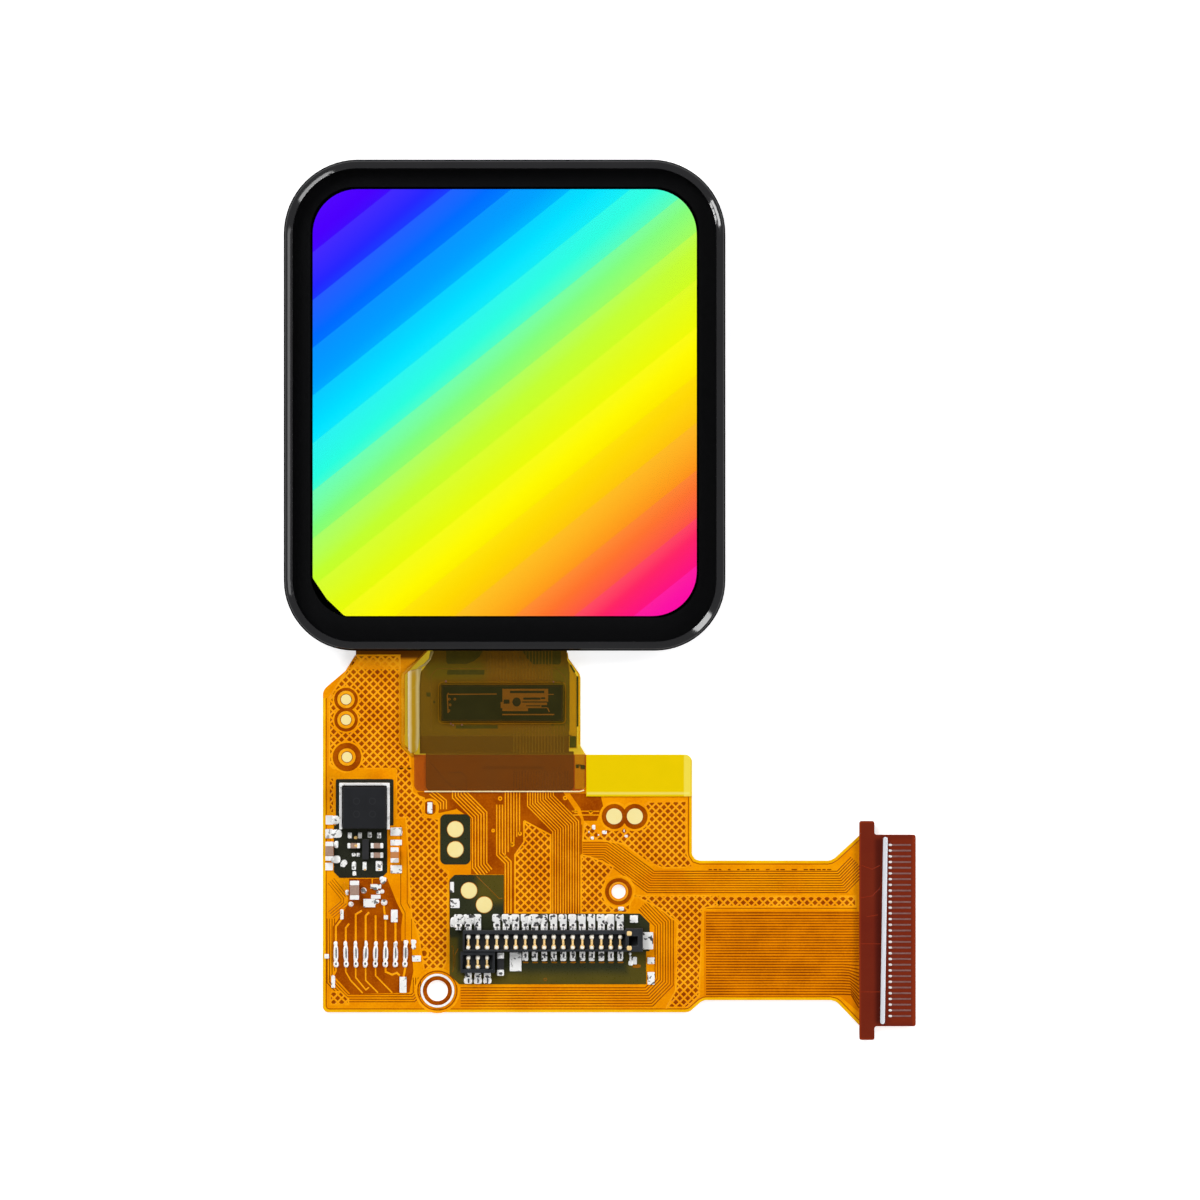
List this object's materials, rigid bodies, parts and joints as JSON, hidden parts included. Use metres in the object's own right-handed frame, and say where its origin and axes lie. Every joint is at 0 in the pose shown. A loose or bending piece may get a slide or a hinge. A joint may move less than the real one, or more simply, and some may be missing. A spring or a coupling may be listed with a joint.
{
  "type": "amoled display",
  "caption": "Small AMOLED display module lying on its back: rounded glass panel with black border, amber flexible circuit with chips and connectors, and a contact tail.",
  "frame": {"origin": "middle of the cover glass outline, on the plane that the back pad rests on", "axes": "+X to the right seen from the screen side, +Y up the panel away from the films, +Z out of the screen"},
  "size_m": [0.0332, 0.0463, 0.0017],
  "materials": {
    "clear_glass": "polished",
    "black_ink": "printed",
    "clear_adhesive": "clear",
    "polarizer": "clear",
    "panel_glass": "polished",
    "frit_seal": "matt",
    "lit_pixels": "lit",
    "black_foam": "matt",
    "amber_film": "semi gloss",
    "olive_film": "semi gloss",
    "black_silicon": "polished",
    "chip_resin": "gloss",
    "clear_tape": "gloss",
    "yellow_tape": "gloss",
    "plate_steel": "satin",
    "red_stiffener": "satin",
    "grey_tin": "satin",
    "pale_bar": "gloss",
    "dark_mask": "satin",
    "gold": "plated",
    "copper_ring": "plated",
    "tin": "plated",
    "black_package": "matt",
    "brown_ceramic": "matt",
    "solder": "soldered",
    "black_housing": "satin",
    "gold_contact": "plated"
  },
  "bodies": {
    "root": {"cover_glass": "clear_glass", "border_ink": "black_ink", "optical_adhesive": "clear_adhesive", "polarizer_film": "polarizer", "encapsulation_glass": "panel_glass", "panel_substrate": "panel_glass", "seal_ring": "frit_seal", "emitting_layer": "lit_pixels", "back_pad": "black_foam", "circuit_film": "amber_film", "driver_film": "olive_film", "driver_chip": "black_silicon", "chip_resin": "chip_resin", "cover_tape": "clear_tape", "yellow_tape": "yellow_tape", "rear_stiffeners": "plate_steel", "tail_stiffener": "red_stiffener", "tail_contacts": "grey_tin", "tail_bar": "pale_bar", "solder_mask": "dark_mask", "test_pads": "gold", "pad_rings": "copper_ring", "hole_rings": "tin", "power_chip": "black_package", "chip_clip": "tin", "capacitor_bodies": "brown_ceramic", "capacitor_ends": "tin", "regulator_chip": "black_package", "chip_pads": "solder", "side_pads": "solder", "solder_balls": "solder", "lead_joints": "solder", "board_pads": "solder", "connector_housing": "black_housing", "connector_contacts": "gold_contact", "connector_tails": "solder", "connector_anchors": "solder", "side_housing": "black_housing", "side_contacts": "gold_contact", "side_tails": "solder", "chip_resistor": "black_package", "resistor_ends": "tin", "ground_pad": "solder"}
  },
  "joints": []
}
